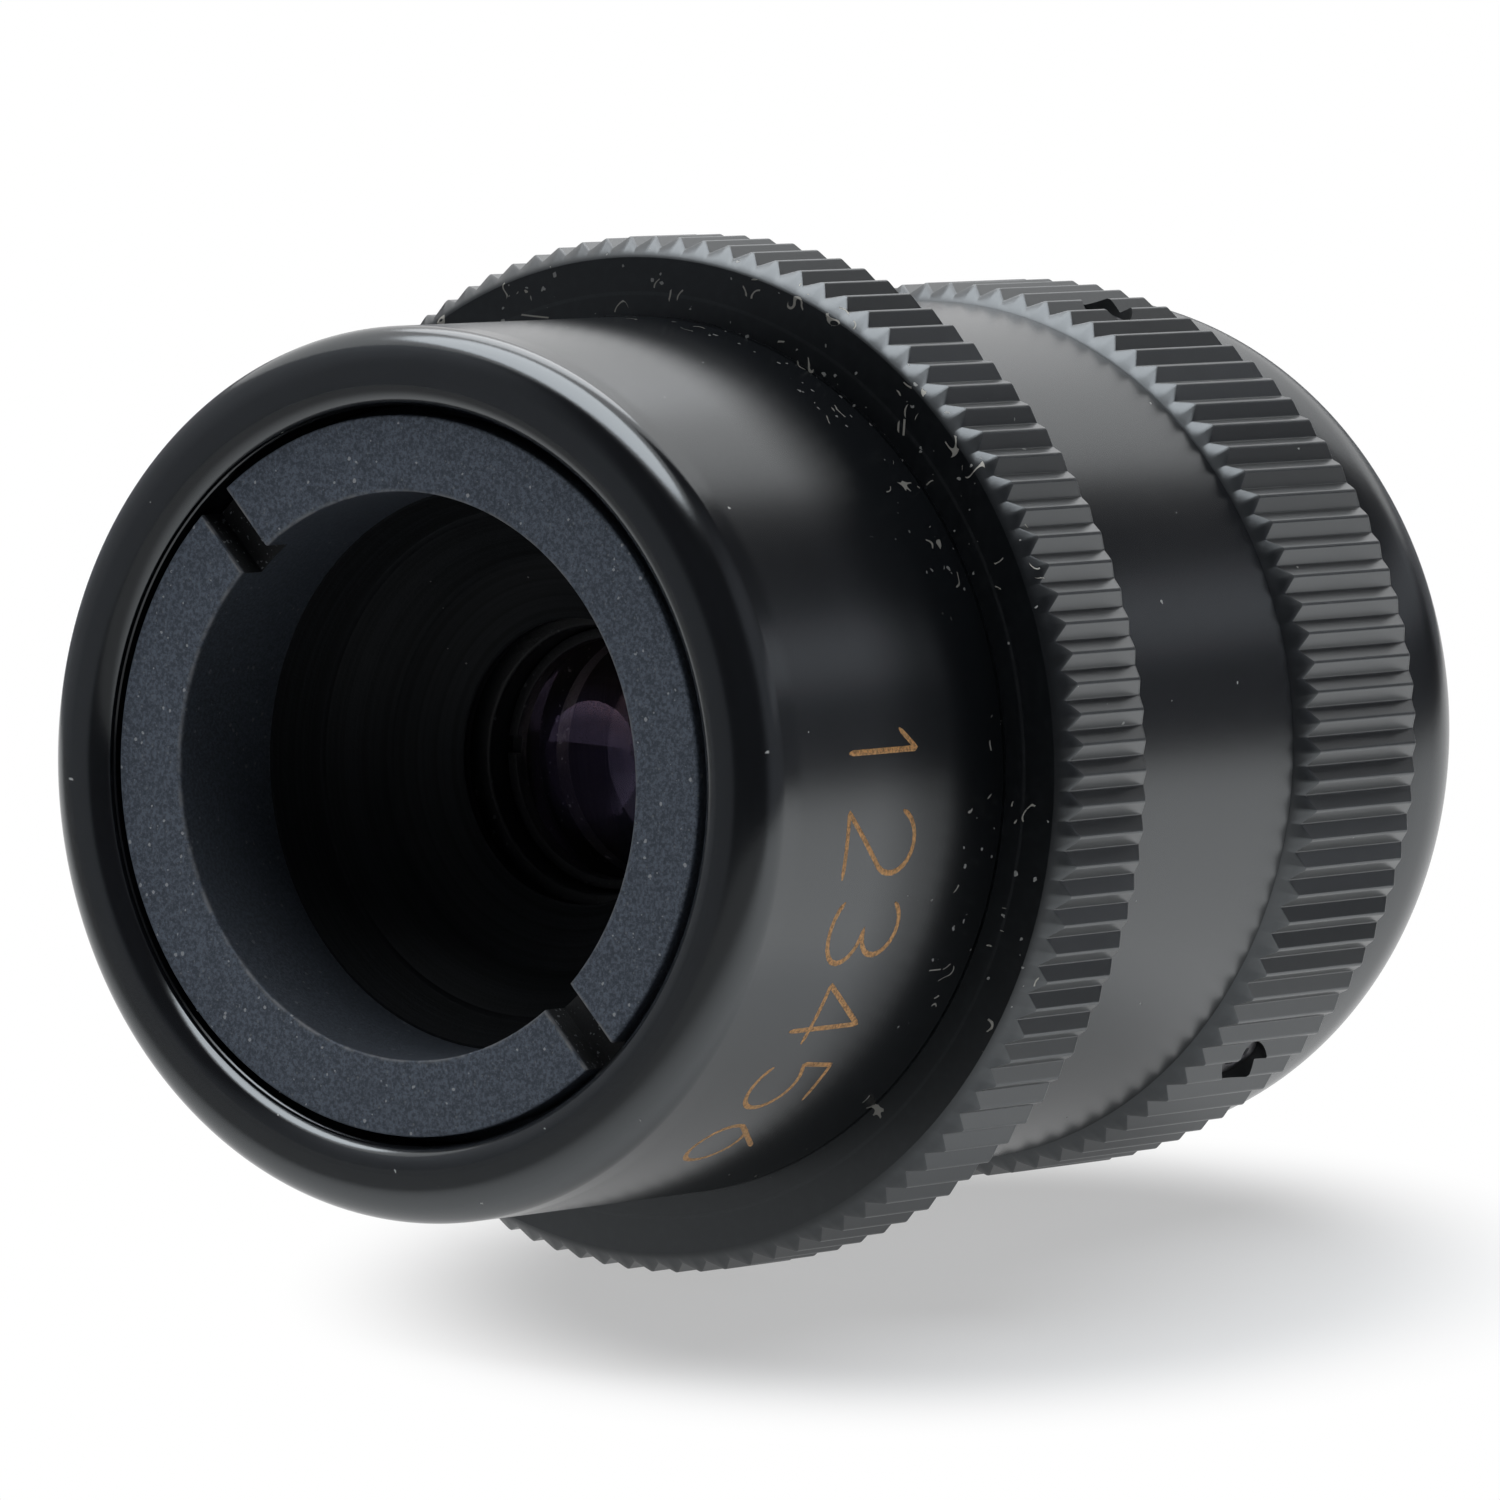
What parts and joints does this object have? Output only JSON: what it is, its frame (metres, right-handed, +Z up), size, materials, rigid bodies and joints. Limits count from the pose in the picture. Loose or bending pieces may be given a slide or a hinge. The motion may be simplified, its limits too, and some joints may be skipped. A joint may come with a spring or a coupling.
{
  "type": "telescope eyepiece",
  "caption": "Helical-focus eyepiece: a smooth push-fit nosepiece, a knurled lock ring, and a knurled focusing ring whose cam grooves slide the lens carriage along the axis.",
  "frame": {"origin": "on the optical axis at the seating shoulder, where the nosepiece barrel meets the lock ring", "axes": "+Y along the optical axis from the nosepiece to the eye end; +Z up as the eyepiece lies on its side"},
  "size_m": [0.0374, 0.0467, 0.0374],
  "materials": {
    "black_anodised": "satin black anodised",
    "matt_black": "matt black anodised",
    "baffle_black": "flat black",
    "dark_steel": "blackened",
    "brass": "turned",
    "coated_glass": "polished with an antireflection coating"
  },
  "bodies": {
    "barrel": {"nosepiece_barrel": "black_anodised", "front_retaining_ring": "matt_black", "baffle_cone": "baffle_black", "body_tube": "matt_black", "sleeve_keeper": "matt_black", "thrust_washer": "brass"},
    "lock": {"lock_ring": "black_anodised"},
    "focus": {"focus_sleeve": "black_anodised", "focus_grip_ring": "black_anodised", "grub_screws": "dark_steel", "eye_cap": "black_anodised"},
    "carriage": {"lens_carriage": "matt_black", "guide_screws": "dark_steel", "guide_rollers": "brass", "front_lens_cell": "matt_black", "front_lens_keeper": "matt_black", "front_crown": "coated_glass", "front_flint": "coated_glass", "field_stop": "baffle_black", "spacer_tube": "baffle_black", "eye_flint": "coated_glass", "eye_crown": "coated_glass", "eye_spacer": "baffle_black", "eye_lens": "coated_glass", "eye_lens_keeper": "matt_black"}
  },
  "joints": [
    {"name": "focus_turn", "type": "hinge", "parent": "barrel", "child": "focus", "pos_m": [0, 0.0155, 0], "axis": [0, -1, 0], "range_deg": [0, 90]},
    {"name": "focus_travel", "type": "slide", "parent": "barrel", "child": "carriage", "axis": [0, 1, 0], "range_m": [0, 0.003]},
    {"name": "lock_turn", "type": "hinge", "parent": "barrel", "child": "lock", "pos_m": [0, 0.0028, 0], "axis": [0, 1, 0], "range_deg": [-30, 0]}
  ],
  "couplings": [
    {"joint": "focus_turn", "follows": "focus_travel", "rad_per_m": 523.6}
  ]
}
